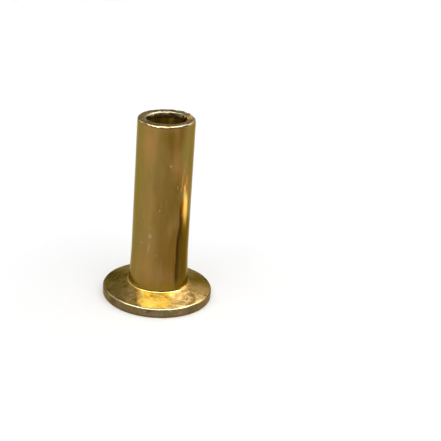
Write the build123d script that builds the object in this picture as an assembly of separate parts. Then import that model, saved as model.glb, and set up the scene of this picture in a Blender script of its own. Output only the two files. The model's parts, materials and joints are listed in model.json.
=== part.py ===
from build123d import *
from math import atan2, dist, pi, remainder, tan
import os

# Tubular rivet with a flat head, cold-headed in one piece from steel wire.
# Millimetres, +Z up. The origin is the middle of the head's flat face, and the
# rivet stands on that face with its shank pointing up to the open end.
#
# The wire is upset into the head, the bore is pushed in from the open end, and
# a shorter recess is coined into the head's face. What is left between the two
# is a thin web, which a punch then pierces, so the hole goes right through.

# Shank
SHANK_DIAMETER = 5.0
NOMINAL_LENGTH = 16.0        # from the top of the head's rim to the open end
OPEN_END_ROUNDING = 0.22     # outer edge, rolled over in the cut-off die

# Upsetting the head fills the die's entry, so the shank swells at its foot
FOOT_SWELL = 0.15            # how far the foot stands out from the straight shank
FOOT_SWELL_HEIGHT = 2.2      # from the cone up to where the shank is straight
FOOT_SWELL_BLEND = 12.0      # rounding where the swelling runs out into the straight shank

# Head
HEAD_DIAMETER = 9.75
RIM_HEIGHT = 0.9             # the upright band round the head
CONE_RISE = 0.6              # from the rim up to the foot of the shank
SHANK_FOOT_FILLET = 0.20     # where the cone turns up into the shank
RIM_FACE_ROUNDING = 0.22     # rim edge on the side of the flat face
RIM_CONE_ROUNDING = 0.20     # rim edge on the side of the cone

# Bore, from the open end
BORE_DIAMETER = 3.5
BORE_MOUTH_ROUNDING = 0.33   # inner edge of the open end, rolled in like the outer one

# Recess, from the head's face. Coining leaves a bead round its mouth, set a
# little below the face, with a fine groove where the bead folds off the face.
RECESS_DIAMETER = 4.2
RECESS_DEPTH = 1.0
RECESS_FLOOR_CHAMFER = 0.12  # left by the bevelled nose of the coining punch
BEAD_WIDTH = 0.25
BEAD_DROP = 0.12             # from the head's face down to the top of the bead
BEAD_ROUNDING = 0.10
GROOVE_WIDTH = 0.10
GROOVE_DEPTH = 0.35
FACE_EDGE_ROUNDING = 0.15    # where the head's face turns down into the groove

# Pierced web between the recess and the bore. The piercing punch comes down the
# bore: it draws the web's edge over on that side and breaks out on the other.
WEB_THICKNESS = 0.5
WEB_OVERHANG = 0.2           # how far the web stands in from the bore's wall
PIERCED_EDGE_CHAMFER = 0.08  # the drawn-over edge, as a plain slope

# A rounding runs along at most this share of either side that it joins, so that
# roundings at both ends of a short side still fit on it.
ROUNDING_SHARE = 0.45


def section_corners():
    """The corners of half the rivet's section, each as (radius, height, rounding).

    They start where the head's face ends at the groove, and go round outside,
    up the shank, over the open end and down through the hole.
    """
    shank = SHANK_DIAMETER / 2
    head = HEAD_DIAMETER / 2
    cone_top = RIM_HEIGHT + CONE_RISE
    open_end = RIM_HEIGHT + NOMINAL_LENGTH

    bore = BORE_DIAMETER / 2
    bore_floor = RECESS_DEPTH + WEB_THICKNESS
    pierced = bore - WEB_OVERHANG

    recess = RECESS_DIAMETER / 2
    bead = recess + BEAD_WIDTH
    groove = bead + GROOVE_WIDTH

    return [
        (groove, 0, FACE_EDGE_ROUNDING),
        (head, 0, RIM_FACE_ROUNDING),
        (head, RIM_HEIGHT, RIM_CONE_ROUNDING),
        (shank + FOOT_SWELL, cone_top, SHANK_FOOT_FILLET),
        (shank, cone_top + FOOT_SWELL_HEIGHT, FOOT_SWELL_BLEND),
        (shank, open_end, OPEN_END_ROUNDING),
        (bore, open_end, BORE_MOUTH_ROUNDING),
        (bore, bore_floor, 0),
        (pierced + PIERCED_EDGE_CHAMFER, bore_floor, 0),
        (pierced, bore_floor - PIERCED_EDGE_CHAMFER, 0),
        (pierced, RECESS_DEPTH, 0),
        (recess - RECESS_FLOOR_CHAMFER, RECESS_DEPTH, 0),
        (recess, RECESS_DEPTH - RECESS_FLOOR_CHAMFER, 0),
        (recess, BEAD_DROP, BEAD_ROUNDING),
        (bead, BEAD_DROP, BEAD_ROUNDING),
        (bead, GROOVE_DEPTH, 0),
        (groove, GROOVE_DEPTH, 0),
    ]


def turn_at(before, at, after):
    """How far the outline turns at a corner, in radians."""
    came = atan2(at[1] - before[1], at[0] - before[0])
    goes = atan2(after[1] - at[1], after[0] - at[0])
    return abs(remainder(goes - came, 2 * pi))


def section():
    """Half the rivet's section as a face on the XZ plane, to the right of the axis."""
    corners = section_corners()
    points = [(radius, height) for radius, height, _ in corners]
    roundings = []
    for i, (_, _, rounding) in enumerate(corners):
        before, at, after = points[i - 1], points[i], points[(i + 1) % len(points)]
        room = ROUNDING_SHARE * min(dist(before, at), dist(at, after))
        roundings.append(min(rounding, room / tan(turn_at(before, at, after) / 2)))
    with BuildSketch(Plane.XZ) as half:
        with BuildLine():
            FilletPolyline(points, radius=roundings, close=True)
        make_face()
    return half.sketch


def rivet():
    """The whole rivet: its section turned once round the Z axis."""
    return revolve(section(), Axis.Z)


os.makedirs("parts", exist_ok=True)
export_step(rivet(), "parts/rivet.step")
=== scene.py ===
# %% [markdown]
# # A flat-head tubular rivet in yellow zinc
# The real rivet is one piece of steel wire, headed cold and plated with zinc, then
# dipped in chromate. The dip leaves a film so thin that it shows cloudy gold, olive
# and rose over the metal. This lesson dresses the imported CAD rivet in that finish:
# one turned mesh with a little relief, six materials that share their node groups,
# a plain white table and a ring of soft lamps.
#
# Everything is in metres, in the CAD model's own frame: the rivet stands on its
# head's flat face, with the origin in the middle of that face.

import json
import math

import bpy
import numpy as np
from mathutils import Matrix, Quaternion, Vector, noise


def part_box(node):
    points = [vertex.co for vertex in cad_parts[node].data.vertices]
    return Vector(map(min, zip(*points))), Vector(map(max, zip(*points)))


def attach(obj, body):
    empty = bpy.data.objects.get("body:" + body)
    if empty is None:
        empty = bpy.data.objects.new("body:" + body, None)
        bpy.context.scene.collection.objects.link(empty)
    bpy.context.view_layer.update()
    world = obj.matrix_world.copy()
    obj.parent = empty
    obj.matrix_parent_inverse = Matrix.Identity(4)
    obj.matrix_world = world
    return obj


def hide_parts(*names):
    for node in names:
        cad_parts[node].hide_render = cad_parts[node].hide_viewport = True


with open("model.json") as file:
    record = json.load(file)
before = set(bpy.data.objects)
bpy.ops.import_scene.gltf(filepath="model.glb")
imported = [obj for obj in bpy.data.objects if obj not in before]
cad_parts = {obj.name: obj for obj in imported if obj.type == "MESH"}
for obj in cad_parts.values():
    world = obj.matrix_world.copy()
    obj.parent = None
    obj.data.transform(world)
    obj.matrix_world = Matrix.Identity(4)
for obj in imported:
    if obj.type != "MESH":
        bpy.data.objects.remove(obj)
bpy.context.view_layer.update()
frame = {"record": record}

# %% [markdown]
# ## Sizes
# A rivet's section is easiest to read in millimetres, so the sizes are kept in
# millimetres and the finished mesh is scaled once. What the model can tell is
# asked of it: its box gives the head and the whole height, and its mounts give
# the shank and the three parts of the hole.

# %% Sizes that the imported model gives, in millimetres
MM = 0.001
low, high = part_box("rivet")
HEAD = (high.x - low.x) / 2 / MM
OPEN_END = high.z / MM

mounts = {mount["name"]: mount for mount in frame["record"]["mounts"]}
SHANK = mounts["shank"]["dims"]["r_mm"]
BORE = mounts["bore"]["dims"]["r_mm"]
RECESS = mounts["recess"]["dims"]["r_mm"]
PIERCED = mounts["pierced_hole"]["dims"]["r_mm"]
print(f"head {HEAD:.3f}, shank {SHANK}, bore {BORE}, recess {RECESS}, height {OPEN_END:.2f}")

# %% Sizes of the head and the hole that no mount gives, in millimetres
RIM_HEIGHT = 0.9
CONE_TOP = 1.5
RECESS_DEPTH = 1.0
WEB_TOP = 1.5
RECESS_BEVEL = 0.12
BEAD_WIDTH = 0.25
BEAD_DROP = 0.12
GROOVE_WIDTH = 0.10
GROOVE_DEPTH = 0.35
print(f"cone {CONE_TOP - RIM_HEIGHT:.1f} high, web {WEB_TOP - RECESS_DEPTH:.1f} thick")

# %% [markdown]
# ## The section as a walk of corners
# A turned part is a half section spun about its axis. The section here is a list
# of corners, walked anticlockwise: out along the flat face, up the rim, up the
# cone and the shank, over the open end and down through the hole. Each corner has
# a rounding, because no real edge is sharp and the rounding is what catches the
# light: the inner rounding of the open end makes its thin bright line, so it is
# tighter here than in the CAD solid. Each side has a zone, which later picks its
# material and its relief.

# %% The corners: radius, height, rounding, and the zone of the side that follows
EDGE_BREAK = 0.04            # the rounding of an edge that was only broken by tumbling
DRAWN_EDGE = 0.08            # of the web's edge, drawn over by the piercing punch
BEAD_ROUNDING = 0.10
FACE_EDGE = 0.15             # where the face turns down into the groove
RIM_FACE_EDGE, RIM_CONE_EDGE = 0.22, 0.20
FOOT_FILLET = 0.20           # where the cone turns up into the shank
LIP_OUTSIDE, LIP_INSIDE = 0.22, 0.20
FACE, RIM, CONE, SHAFT, LAND, HOLE = range(6)

BEAD = RECESS + BEAD_WIDTH
GROOVE = BEAD + GROOVE_WIDTH
CORNERS = [
    (GROOVE, 0, FACE_EDGE, FACE),
    (HEAD, 0, RIM_FACE_EDGE, RIM),
    (HEAD, RIM_HEIGHT, RIM_CONE_EDGE, CONE),
    (SHANK, CONE_TOP, FOOT_FILLET, SHAFT),
    (SHANK, OPEN_END, LIP_OUTSIDE, LAND),
    (BORE, OPEN_END, LIP_INSIDE, HOLE),
    (BORE, WEB_TOP, EDGE_BREAK, HOLE),
    (PIERCED, WEB_TOP, DRAWN_EDGE, HOLE),
    (PIERCED, RECESS_DEPTH, EDGE_BREAK, HOLE),
    (RECESS - RECESS_BEVEL, RECESS_DEPTH, EDGE_BREAK, HOLE),
    (RECESS, RECESS_DEPTH - RECESS_BEVEL, EDGE_BREAK, HOLE),
    (RECESS, BEAD_DROP, BEAD_ROUNDING, HOLE),
    (BEAD, BEAD_DROP, BEAD_ROUNDING, HOLE),
    (BEAD, GROOVE_DEPTH, EDGE_BREAK, HOLE),
    (GROOVE, GROOVE_DEPTH, EDGE_BREAK, HOLE),
]
print(f"{len(CORNERS)} corners, bead from {RECESS} to {BEAD}, groove to {GROOVE}")

# %% [markdown]
# ## Rows of the mesh
# The walk becomes rows: points along each straight side, and a fan of points round
# each corner. A row remembers which way the surface faces there, so that relief
# can move it outwards, and how far it is into a convex corner, which is where
# handling rubs the film off first.

# %% Walk the corners into rows
ROUNDING_SHARE = 0.45        # a rounding takes at most this share of a side
ARC_STEPS = 9                # points in each rounding
EDGE_STEPS = 4               # and in one that is only an edge break
# How far apart the rows of each zone's straight sides are, in millimetres
STEP = {FACE: 0.09, RIM: 0.08, CONE: 0.075, SHAFT: 0.24, LAND: 0.06, HOLE: 0.42}


class Row:
    """One ring of the mesh: its place, the way it faces, its zone, its wear and its hollow."""

    def __init__(self, place, facing, zone, wear, hollow):
        self.place = place
        self.facing = facing
        self.zone = zone
        self.wear = wear
        self.hollow = hollow


def unit(vector):
    """A vector of the same direction and of length 1."""
    return vector / np.linalg.norm(vector)


def corner_arc(before, at, after, rounding):
    """The points and facings round one corner, and 1 for a convex corner or -1 for a hollow."""
    came = unit(at - before)
    goes = unit(after - at)
    cross = came[0] * goes[1] - came[1] * goes[0]
    turn = math.atan2(cross, came @ goes)
    shortest = min(np.linalg.norm(at - before), np.linalg.norm(after - at))
    radius = min(rounding, ROUNDING_SHARE * shortest)
    back = radius * math.tan(abs(turn) / 2)
    side = math.copysign(1.0, turn)
    centre = at - came * back + side * radius * np.array([-came[1], came[0]])
    start = np.array([came[1], -came[0]])
    steps = EDGE_STEPS if rounding == EDGE_BREAK else ARC_STEPS
    fan = []
    for step in range(steps):
        angle = turn * step / (steps - 1)
        c = math.cos(angle)
        s = math.sin(angle)
        facing = np.array([c * start[0] - s * start[1], s * start[0] + c * start[1]])
        fan.append((centre + side * radius * facing, facing))
    return fan, side


def walk(corners):
    """All the rows of the section, in order round the loop."""
    points = [np.array(corner[:2], float) for corner in corners]
    fans = []
    for i, corner in enumerate(corners):
        after = points[(i + 1) % len(points)]
        fans.append(corner_arc(points[i - 1], points[i], after, corner[2]))
    rows = []
    for i, corner in enumerate(corners):
        fan, side = fans[i]
        zone_before = corners[i - 1][3]
        zone = corner[3]
        for step, (place, facing) in enumerate(fan):
            depth = math.sin(math.pi * step / (len(fan) - 1))
            # Each side of a corner gets half its rounding; the open end has all of its inner one
            own_zone = zone_before if step < len(fan) // 2 or zone_before == LAND else zone
            rows.append(Row(place, facing, own_zone, max(0, side) * depth, max(0, -side) * depth))
        leave, facing = fan[-1]
        arrive = fans[(i + 1) % len(fans)][0][0][0]
        pieces = max(1, round(np.linalg.norm(arrive - leave) / STEP[zone]))
        for k in range(1, pieces):
            rows.append(Row(leave + (arrive - leave) * k / pieces, facing, zone, 0.0, 0.0))
    return rows


rows = walk(CORNERS)
counts = {zone: sum(row.zone == zone for row in rows) for zone in STEP}
print(f"{len(rows)} rows; by zone {counts}")

# %% [markdown]
# ## Relief that the tools left
# Cold heading squeezes the cone and the rim against a die, which leaves them
# dimpled. The drawn shank is nearly true, with a slight waviness. The cut-off
# tool leaves the open end uneven, the face keeps faint turned rings, and the
# pierced web is torn. All of it could be bump in the materials, but light runs
# along these edges, so it is real relief. Each kind has a strength for every row,
# smoothed along the section so that one kind fades into the next.

# %% Strengths of the relief along the section
FADE_ROUNDS = 3              # how often the strengths are averaged with their neighbours
OUTSIDE_DEPTH = 0.25         # the shank's outside reaches this far in over the lip
TEAR_REACH = 0.2             # the torn rows lie this near to the pierced hole's radius


def strength(test):
    """1 on the rows that pass the test, 0 elsewhere, faded at the ends."""
    values = np.array([1.0 if test(row) else 0.0 for row in rows])
    for _ in range(FADE_ROUNDS):
        values = (np.roll(values, 1) + values + np.roll(values, -1)) / 3
    return values


STRENGTHS = {
    "forged": strength(lambda row: row.zone == CONE),
    "banded": strength(lambda row: row.zone == RIM),
    "drawn": strength(lambda row: row.zone == SHAFT),
    "mouth": strength(lambda row: row.zone == LAND),
    "outside": strength(
        lambda row: row.place[1] > CONE_TOP and row.place[0] > SHANK - OUTSIDE_DEPTH
    ),
    "turned": strength(lambda row: row.zone == FACE),
    "torn": strength(
        lambda row: row.zone == HOLE and abs(row.place[0] - PIERCED) < TEAR_REACH
    ),
}
print("rows of each relief:", {name: int((v > 0).sum()) for name, v in STRENGTHS.items()})

# %% Heights, lump sizes and noise offsets of the relief, in millimetres
# Each kind: how far it moves the skin, how wide its lumps are, and an offset that
# reads the noise at another place, so that no two kinds repeat each other
DIMPLE = (0.010, 0.42, 0.0)
SWELL = (0.014, 1.5, 4.0)
BAND = (0.008, 0.6, 2.0)
WAVE = (0.006, 2.4, 6.0)
RAGGED = (0.030, 0.9, 3.0)
NICK = (0.020, 0.28, 8.0)
TEAR = (0.11, 0.5, 5.0)
RING = (0.012, 1.6, 9.0)
WAVE_STRETCH = 0.25          # the shank's waves are drawn out along it: height counts this much
RING_WIDTH = 0.05
RING_RADII = (2.86, 3.2, 3.7, 4.25)
RING_DEPTHS = (0.6, 0.6)     # a ring mark's share of its depth: on average, and how it varies
CHIP_FROM = 47               # its most chipped side: degrees to the right of the back
CHIP_GAIN, CHIP_FOCUS = 2.5, 6   # how much deeper its nicks are, and how narrow that side is


def bumps(place, scale, offset):
    """Smooth noise from -1 to 1 whose lumps are about one scale across."""
    return noise.noise(Vector((place[0] / scale + offset, place[1] / scale, place[2] / scale)))


def lumps(place, kind):
    """One kind of relief at a place, in millimetres."""
    height, scale, offset = kind
    return height * bumps(place, scale, offset)


def dimples(place):
    """The die's print on the cone: small dimples on broad swells."""
    return lumps(place, DIMPLE) + lumps(place, SWELL)


def draw_waves(place):
    """The drawn wire's slight waves, which are long and run along the shank."""
    return lumps((place[0], place[1], place[2] * WAVE_STRETCH), WAVE)


def nicks(place):
    """The cut-off end: ragged all round, and chipped most on one side."""
    depth, scale, offset = NICK
    turned = math.atan2(place[0], place[1]) - math.radians(CHIP_FROM)
    chipped = 1 + CHIP_GAIN * max(0, math.cos(turned)) ** CHIP_FOCUS
    return lumps(place, RAGGED) + depth * chipped * (bumps(place, scale, offset) - 0.5)


def ring_marks(place):
    """The turned rings of the head's face: shallow, and uneven round the face."""
    depth, scale, offset = RING
    radius = math.hypot(place[0], place[1])
    marks = sum(math.exp(-((radius - ring) / RING_WIDTH) ** 2) for ring in RING_RADII)
    return -depth * marks * (RING_DEPTHS[0] + RING_DEPTHS[1] * bumps(place, scale, offset))


RELIEFS = {
    "forged": dimples,
    "banded": lambda place: lumps(place, BAND),
    "drawn": draw_waves,
    "mouth": nicks,
    "turned": ring_marks,
    "torn": lambda place: lumps(place, TEAR),
}


def relief(place, along):
    """How far the skin stands out at one vertex, in millimetres."""
    return sum(along[kind] * shape(place) for kind, shape in RELIEFS.items() if along[kind] > 0)


# %% [markdown]
# ## What makes one rivet differ from the next
# No headed rivet is quite true. The metal that is squeezed out of the head fills
# the die's entry, so the shank flares at its foot. The shank stands a little off
# the head's middle and leans, and it is a shade over its nominal size. The wire
# was sheared off, so the open end is higher on one side. All of these are small
# moves of whole rows, apart from the shear, which changes round the open end.

# %% Flare, lean and shear, in millimetres
FLARE, FLARE_TOP = 0.15, 5.5   # the shank swells by this much towards the cone, from this height
FLARE_REACH = 1.0            # and the cone takes the swelling up over this width
OVERSIZE = 0.024             # the shank's radius is this much over its nominal size
LEAN = 0.005                 # the shank moves this much to the left for each millimetre of height
FOOT_SHIFT = 0.045           # and its foot stands this much to the right of the head's middle
CUT_LEAN = 0.19              # how much higher one side of the cut-off end is than the other
CUT_LEAN_FROM = 45           # which side: degrees to the right of the front
CUT_RISE = -0.06             # where the lowest side of the open end is, against its true height


def flare(row):
    """How far a row of the shank or the cone is pushed outwards by the swelling at the foot."""
    radius, height = row.place
    if row.zone == SHAFT:
        return FLARE * max(0, (FLARE_TOP - height) / (FLARE_TOP - CONE_TOP)) ** 2
    if row.zone == CONE:
        return FLARE * max(0, 1 - (radius - SHANK) / FLARE_REACH)
    return 0.0


def axis_shift(height):
    """How far to the right the middle of the shank and its bore is at a height."""
    onto_shank = min(1, max(0, (height - RIM_HEIGHT) / (CONE_TOP - RIM_HEIGHT)))
    return FOOT_SHIFT * onto_shank - LEAN * max(0, height - CONE_TOP)


def shear(angle):
    """How much the cut-off end is raised at an angle round the axis."""
    toward_high_side = math.cos(angle - math.radians(CUT_LEAN_FROM - 90))
    return CUT_RISE + CUT_LEAN * (1 + toward_high_side) / 2


print(f"open end: {shear(math.radians(CUT_LEAN_FROM - 90)):.3f} mm up on its high side")

# %% [markdown]
# ## Spin the rows into one mesh
# The rows go round the axis in even segments. Quads join them into one closed
# skin with no seam and no poles, because the rivet has a hole right through. Two
# numbers are kept at every vertex for the materials: how exposed an edge is, and
# how sheltered a hollow is.

# %% Build the mesh
SEGMENTS = 360


def spin(rows):
    """The vertices of the turned skin, with the wear and the hollow of each."""
    vertices, wear, hollow = [], [], []
    for i, row in enumerate(rows):
        along = {kind: values[i] for kind, values in STRENGTHS.items()}
        radius, height = row.place
        swollen = flare(row) + along["outside"] * OVERSIZE
        for j in range(SEGMENTS):
            angle = 2 * math.pi * j / SEGMENTS
            c = math.cos(angle)
            s = math.sin(angle)
            out = relief((radius * c, radius * s, height), along)
            reach = radius + row.facing[0] * out + swollen
            rise = height + row.facing[1] * out + along["mouth"] * shear(angle)
            vertices.append(((reach * c + axis_shift(height)) * MM, reach * s * MM, rise * MM))
            wear.append(row.wear)
            hollow.append(row.hollow)
    return vertices, wear, hollow


def join(rows):
    """The quads between neighbouring rows, and the zone of each."""
    faces, zones = [], []
    for i, row in enumerate(rows):
        this = i * SEGMENTS
        following = (i + 1) % len(rows) * SEGMENTS
        for j in range(SEGMENTS):
            n = (j + 1) % SEGMENTS
            faces.append((this + j, this + n, following + n, following + j))
            zones.append(row.zone)
    return faces, zones


vertices, wear, hollow = spin(rows)
faces, zones = join(rows)
skin = bpy.data.meshes.new("rivet_body")
skin.from_pydata(vertices, [], faces)
skin.polygons.foreach_set("use_smooth", [True] * len(faces))
for name, values in (("wear", wear), ("hollow", hollow)):
    attribute = skin.attributes.new(name, "FLOAT", "POINT")
    attribute.data.foreach_set("value", values)
skin.update()
rivet = bpy.data.objects.new("rivet_body", skin)
bpy.context.scene.collection.objects.link(rivet)
print(f"{len(vertices)} vertices, {2 * len(faces)} triangles")

# %% [markdown]
# ## A small helper for node trees
# Every material below is a tree of nodes. The helper adds a node, sets its inputs
# from numbers or from other nodes, and hands back what it puts out, so that a tree
# reads from top to bottom like a recipe.

# %% The helper


class Bench:
    """Adds nodes to one tree and wires them up."""

    def __init__(self, tree):
        self.tree = tree

    def add(self, kind, inputs=None, **settings):
        node = self.tree.nodes.new("ShaderNode" + kind)
        for name, value in settings.items():
            setattr(node, name, value)
        for socket, value in (inputs or {}).items():
            self.feed(node.inputs[socket], value)
        return node

    def feed(self, socket, value):
        if isinstance(value, bpy.types.NodeSocket):
            self.tree.links.new(value, socket)
        else:
            socket.default_value = value

    def math(self, operation, a, b=0.0):
        return self.add("Math", {0: a, 1: b}, operation=operation).outputs[0]

    def plus(self, a, b):
        return self.math("ADD", a, b)

    def minus(self, a, b):
        return self.math("SUBTRACT", a, b)

    def times(self, a, b):
        return self.math("MULTIPLY", a, b)

    def most(self, a, b):
        return self.math("MAXIMUM", a, b)

    def rest(self, share):
        """What a share leaves of 1."""
        return self.math("SUBTRACT", 1.0, share)

    def vector(self, operation, a, b):
        return self.add("VectorMath", {0: a, 1: b}, operation=operation).outputs["Vector"]

    def length(self, vector):
        return self.add("VectorMath", {0: vector}, operation="LENGTH").outputs["Value"]

    def ramp(self, value, start, end, low=0.0, high=1.0):
        """A smooth step of value: low before start, high after end."""
        names = {"Value": value, "From Min": start, "From Max": end, "To Min": low, "To Max": high}
        return self.add("MapRange", names, interpolation_type="SMOOTHSTEP").outputs["Result"]

    def mix(self, share, a, b):
        """Two colours blended: a where the share is 0, b where it is 1."""
        # A Mix node has sockets for every kind of data; its colours are 6 and 7 in, 2 out
        node = self.add("Mix", data_type="RGBA")
        self.feed(node.inputs[0], share)
        self.feed(node.inputs[6], a)
        self.feed(node.inputs[7], b)
        return node.outputs[2]

    def lay(self, under, over, mask, share):
        """One colour laid over another where a mask is, up to a share."""
        return self.mix(self.times(mask, share), under, over)

    def bands(self, value, stops):
        """Colours that change smoothly with value, from a list of (value, colour)."""
        node = self.add("ValToRGB", {"Fac": value})
        elements = node.color_ramp.elements
        while len(elements) < len(stops):
            elements.new(0.5)
        for element, (place, colour) in zip(elements, stops):
            element.position = place
            element.color = (*colour, 1)
        return node.outputs["Color"]

    def clouds(self, vector, per_mm, detail=3.0, rough=0.55):
        """Noise from 0 to 1 about a middle of 0.5, at so many lumps a millimetre."""
        inputs = {"Vector": vector, "Scale": per_mm, "Detail": detail, "Roughness": rough}
        return self.add("TexNoise", inputs, noise_dimensions="3D").outputs[0]


def new_group(name, inputs, outputs):
    """An empty shader node group with named sockets, its bench, and its two ends."""
    tree = bpy.data.node_groups.new(name, "ShaderNodeTree")
    kinds = {"value": "NodeSocketFloat", "colour": "NodeSocketColor", "vector": "NodeSocketVector"}
    for label, kind, default in inputs:
        socket = tree.interface.new_socket(name=label, in_out="INPUT", socket_type=kinds[kind])
        if default is not None:
            socket.default_value = default
    for label, kind in outputs:
        tree.interface.new_socket(name=label, in_out="OUTPUT", socket_type=kinds[kind])
    entry = tree.nodes.new("NodeGroupInput")
    leave = tree.nodes.new("NodeGroupOutput")
    return tree, Bench(tree), entry.outputs, leave.inputs


def place_group(bench, tree, inputs):
    """One use of a group in a material, with its own values."""
    node = bench.add("Group")
    node.node_tree = tree
    for label, value in inputs.items():
        bench.feed(node.inputs[label], value)
    return node.outputs


def report(made):
    """Print how many nodes a group or material has so far."""
    tree = getattr(made, "node_tree", made)
    print(f"{made.name}: {len(tree.nodes)} nodes")


# %% [markdown]
# ## Group: place on the rivet
# Noise is easiest to size in millimetres, so this group turns the object's own
# coordinates into millimetres. It also gives the distance from the axis, and
# where a point is round the axis: Side is -1 on the left and 1 on the right, Back
# is -1 in front and 1 behind.

# %% Place on the rivet
PLACE, bench, given, result = new_group(
    "Place on the rivet",
    [],
    [
        ("Position", "vector"),
        ("Radius", "value"),
        ("Height", "value"),
        ("Side", "value"),
        ("Back", "value"),
    ],
)
local = bench.add("TexCoord").outputs["Object"]
position = bench.vector("MULTIPLY", local, (1 / MM, 1 / MM, 1 / MM))
axes = bench.add("SeparateXYZ", {0: position})
radius = bench.length(bench.vector("MULTIPLY", position, (1, 1, 0)))
bench.feed(result["Position"], position)
bench.feed(result["Radius"], radius)
bench.feed(result["Height"], axes.outputs["Z"])
bench.feed(result["Side"], bench.math("DIVIDE", axes.outputs["X"], radius))
bench.feed(result["Back"], bench.math("DIVIDE", axes.outputs["Y"], radius))
report(PLACE)

# %% [markdown]
# ## Group: chromate film
# The film's colour depends on its thickness, which drains unevenly after the dip.
# Gold is the base. Broad clouds turn it olive, others turn it rose, and where it
# dried thick it goes brown. Each cloud is noise cut by a smooth step.

# %% Chromate film
FILM, bench, given, result = new_group(
    "Chromate film",
    [
        ("Position", "vector", None),
        ("Gold", "colour", (0.26, 0.165, 0.05, 1)),
        ("Olive", "colour", (0.24, 0.185, 0.06, 1)),
        ("Rose", "colour", (0.28, 0.16, 0.07, 1)),
        ("Brown", "colour", (0.15, 0.08, 0.02, 1)),
        ("Clouds per mm", "value", 0.3),
        ("Stretch", "vector", (1, 1, 1)),
        ("Olive from", "value", 0.5),
        ("Rose from", "value", 0.55),
        ("Brown from", "value", 0.6),
        ("Strength", "value", 1.0),
    ],
    [("Color", "colour")],
)
# Each cloud: its colour, where in the noise it is read, and how soft its edge is
CLOUDS = (
    ("Olive", (3.1, 0.0, 7.7), 0.16),
    ("Rose", (11.3, 5.2, 0.0), 0.12),
    ("Brown", (0.0, 17.9, 4.4), 0.10),
)
stretched = bench.vector("MULTIPLY", given["Position"], given["Stretch"])
colour = given["Gold"]
for label, offset, softness in CLOUDS:
    cloud = bench.clouds(bench.vector("ADD", stretched, offset), given["Clouds per mm"])
    edge = given[f"{label} from"]
    share = bench.ramp(cloud, bench.minus(edge, softness), bench.plus(edge, softness))
    colour = bench.lay(colour, given[label], share, given["Strength"])
bench.feed(result["Color"], colour)
report(FILM)

# %% [markdown]
# ## Group: specks and pits
# Plating is dotted with tiny bright spots, where the film is knocked off, and
# with dark pits. Both are cells of a Voronoi pattern: a cell gets a spot only if
# its own random number is below the share asked for, and the spot is the middle
# of the cell, frayed by fine noise.

# %% Specks and pits
FRAYS_PER_MM = 9.0
SPECK_HEIGHT = 0.3           # a speck stands this far out for every 1 that a pit goes in
SPECKS, bench, given, result = new_group(
    "Specks and pits",
    [
        ("Position", "vector", None),
        ("Cells per mm", "value", 2.0),
        ("Speck share", "value", 0.1),
        ("Pit share", "value", 0.1),
        ("Spot size", "value", 0.3),
    ],
    [("Specks", "value"), ("Pits", "value"), ("Height", "value")],
)
cells = bench.add(
    "TexVoronoi", {"Vector": given["Position"], "Scale": given["Cells per mm"]}, feature="F1"
)
draw = bench.add("SeparateColor", {0: cells.outputs["Color"]})
frays = bench.plus(bench.clouds(given["Position"], FRAYS_PER_MM, 2.0), 0.5)
reach = bench.times(given["Spot size"], frays)
spot = bench.rest(bench.ramp(cells.outputs["Distance"], 0.0, reach))
specks = bench.times(spot, bench.math("LESS_THAN", draw.outputs[0], given["Speck share"]))
pits = bench.times(spot, bench.math("LESS_THAN", draw.outputs[1], given["Pit share"]))
bench.feed(result["Specks"], specks)
bench.feed(result["Pits"], pits)
bench.feed(result["Height"], bench.minus(bench.times(specks, SPECK_HEIGHT), pits))
report(SPECKS)

# %% [markdown]
# ## Group: fine skin
# Under the light a plated surface is never quite smooth. This group gives two
# things at once: a fine grain, and draw lines that run along the rivet where the
# wire went through its die. The stretch decides which way the lines run.

# %% Fine skin
SKIN, bench, given, result = new_group(
    "Fine skin",
    [
        ("Position", "vector", None),
        ("Grain per mm", "value", 8.0),
        ("Line stretch", "vector", (3.0, 3.0, 0.2)),
    ],
    [("Grain", "value"), ("Lines", "value")],
)
drawn = bench.vector("MULTIPLY", given["Position"], given["Line stretch"])
bench.feed(result["Grain"], bench.clouds(given["Position"], given["Grain per mm"], 3.0, 0.6))
bench.feed(result["Lines"], bench.clouds(drawn, 1.0, 2.0, 0.5))
report(SKIN)

# %% [markdown]
# ## Group: rubbed edges
# Rivets are tumbled and poured by the thousand, so every outer edge has lost some
# film and shows pale zinc. The mesh says where the edges are, and noise makes the
# rubbing uneven. Sheltered hollows do the opposite and hold a thicker, darker film.

# %% Rubbed edges
RUBBING_WIDTH = 0.4          # how far past its start the rubbing is full
EDGES, bench, given, result = new_group(
    "Rubbed edges",
    [
        ("Position", "vector", None),
        ("Patches per mm", "value", 1.2),
        ("Rubbed from", "value", 0.5),
        ("Unevenness", "value", 0.6),
    ],
    [("Rubbed", "value"), ("Exposed", "value"), ("Sheltered", "value")],
)
exposed = bench.add("Attribute", attribute_name="wear").outputs["Fac"]
sheltered = bench.add("Attribute", attribute_name="hollow").outputs["Fac"]
patches = bench.minus(bench.clouds(given["Position"], given["Patches per mm"]), 0.5)
uneven = bench.plus(exposed, bench.times(patches, given["Unevenness"]))
full = bench.plus(given["Rubbed from"], RUBBING_WIDTH)
rubbed = bench.times(bench.ramp(uneven, given["Rubbed from"], full), exposed)
bench.feed(result["Rubbed"], rubbed)
bench.feed(result["Exposed"], exposed)
bench.feed(result["Sheltered"], sheltered)
report(EDGES)

# %% [markdown]
# ## Group: mottled skin
# The die presses scale and lubricant into the headed metal, so the cone looks
# blotchy from close by: small pale blotches between darker ones. Two sizes of
# noise make the blotches, and the same pattern gives their slight height.

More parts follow.
